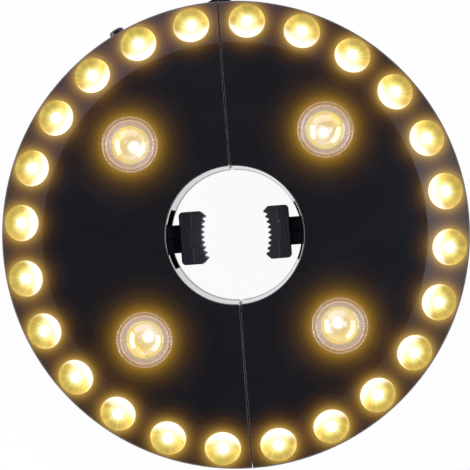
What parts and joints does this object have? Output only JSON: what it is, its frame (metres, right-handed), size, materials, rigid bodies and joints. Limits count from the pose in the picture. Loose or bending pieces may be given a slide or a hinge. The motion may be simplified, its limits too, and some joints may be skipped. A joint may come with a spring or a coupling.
{
  "type": "umbrella pole light",
  "caption": "Disc light in two hinged halves that closes round an umbrella pole: a ring of small lamps, domed spot lamps, a side button and sprung toothed jaws in the centre hole.",
  "frame": {"origin": "where the pole's axis meets the back plane, on which the disc lies", "axes": "+Z along the pole's axis, out of the lamp face; +Y along the seam to the hinge; +X along the jaws, to the half that stays still"},
  "size_m": [0.2, 0.2046, 0.0436],
  "materials": {
    "shell_abs": "moulded black ABS, satin",
    "jaw_nylon": "moulded black nylon, matt",
    "jaw_rubber": "moulded black rubber",
    "reflector": "vacuum-metallised plastic, mirror bright",
    "lamp_epoxy": "water-clear epoxy over a warm white lamp",
    "lens_clear": "polished clear polycarbonate",
    "board": "white solder mask on glass-fibre board",
    "spring_steel": "bright nickel-plated steel",
    "cell": "plain metallised sleeve"
  },
  "bodies": {
    "right_half": {"front_shell_right": "shell_abs", "rear_shell_right": "shell_abs", "lamp_board_right": "board", "reflector_ring_right": "reflector", "ring_lamps_right": "lamp_epoxy", "spot_reflectors_right": "reflector", "spot_lamps_right": "lamp_epoxy", "spot_lens_upper_right": "lens_clear", "spot_lens_lower_right": "lens_clear", "jaw_guide_right": "shell_abs", "jaw_spring_right": "spring_steel", "cell_inner_right": "cell", "cell_outer_right": "cell", "cell_springs_right": "spring_steel", "cell_plates_right": "spring_steel", "housing_screws_right": "spring_steel", "hinge_pin": "spring_steel", "hinge_spring": "spring_steel"},
    "left_half": {"front_shell_left": "shell_abs", "rear_shell_left": "shell_abs", "lamp_board_left": "board", "reflector_ring_left": "reflector", "ring_lamps_left": "lamp_epoxy", "spot_reflectors_left": "reflector", "spot_lamps_left": "lamp_epoxy", "spot_lens_upper_left": "lens_clear", "spot_lens_lower_left": "lens_clear", "jaw_guide_left": "shell_abs", "jaw_spring_left": "spring_steel", "cell_inner_left": "cell", "cell_outer_left": "cell", "cell_springs_left": "spring_steel", "cell_plates_left": "spring_steel", "housing_screws_left": "spring_steel", "button_spring": "spring_steel", "tact_switch": "spring_steel", "control_board": "board"},
    "right_jaw": {"jaw_holder_right": "jaw_nylon", "jaw_pad_right": "jaw_rubber"},
    "right_door": {"battery_door_right": "shell_abs"},
    "right_hook": {"hook_right": "jaw_nylon"},
    "left_jaw": {"jaw_holder_left": "jaw_nylon", "jaw_pad_left": "jaw_rubber"},
    "left_door": {"battery_door_left": "shell_abs"},
    "left_hook": {"hook_left": "jaw_nylon"},
    "button": {"push_button": "shell_abs"}
  },
  "joints": [
    {"name": "half_hinge", "type": "hinge", "parent": "right_half", "child": "left_half", "pos_m": [0, 0.1012, 0.0125], "axis": [0, 0, -1], "range_deg": [0, 25], "stiffness_Nm_per_rad": 0.5, "springref_deg": -28.65, "deforming": ["hinge_spring"]},
    {"name": "right_jaw_slide", "type": "slide", "parent": "right_half", "child": "right_jaw", "axis": [1, 0, 0], "range_m": [0, 0.0105], "stiffness_N_per_m": 700, "springref_m": -0.012, "deforming": ["jaw_spring_right"]},
    {"name": "left_jaw_slide", "type": "slide", "parent": "left_half", "child": "left_jaw", "axis": [-1, 0, 0], "range_m": [0, 0.0105], "stiffness_N_per_m": 700, "springref_m": -0.012, "deforming": ["jaw_spring_left"]},
    {"name": "right_door_hinge", "type": "hinge", "parent": "right_half", "child": "right_door", "pos_m": [0.0721, 0.03, 0.0011], "axis": [1, 0, 0], "range_deg": [0, 100]},
    {"name": "left_door_hinge", "type": "hinge", "parent": "left_half", "child": "left_door", "pos_m": [-0.0721, 0.03, 0.0011], "axis": [1, 0, 0], "range_deg": [0, 100]},
    {"name": "right_hook_fold", "type": "hinge", "parent": "right_half", "child": "right_hook", "pos_m": [0.026, 0.052, 0.0022], "axis": [-1, 0, 0], "range_deg": [0, 90]},
    {"name": "left_hook_fold", "type": "hinge", "parent": "left_half", "child": "left_hook", "pos_m": [-0.026, -0.052, 0.0022], "axis": [1, 0, 0], "range_deg": [0, 90]},
    {"name": "button_press", "type": "slide", "parent": "left_half", "child": "button", "axis": [0.4431, -0.8965, 0], "range_m": [0, 0.0013], "stiffness_N_per_m": 400, "springref_m": -0.002, "deforming": ["button_spring"]}
  ]
}
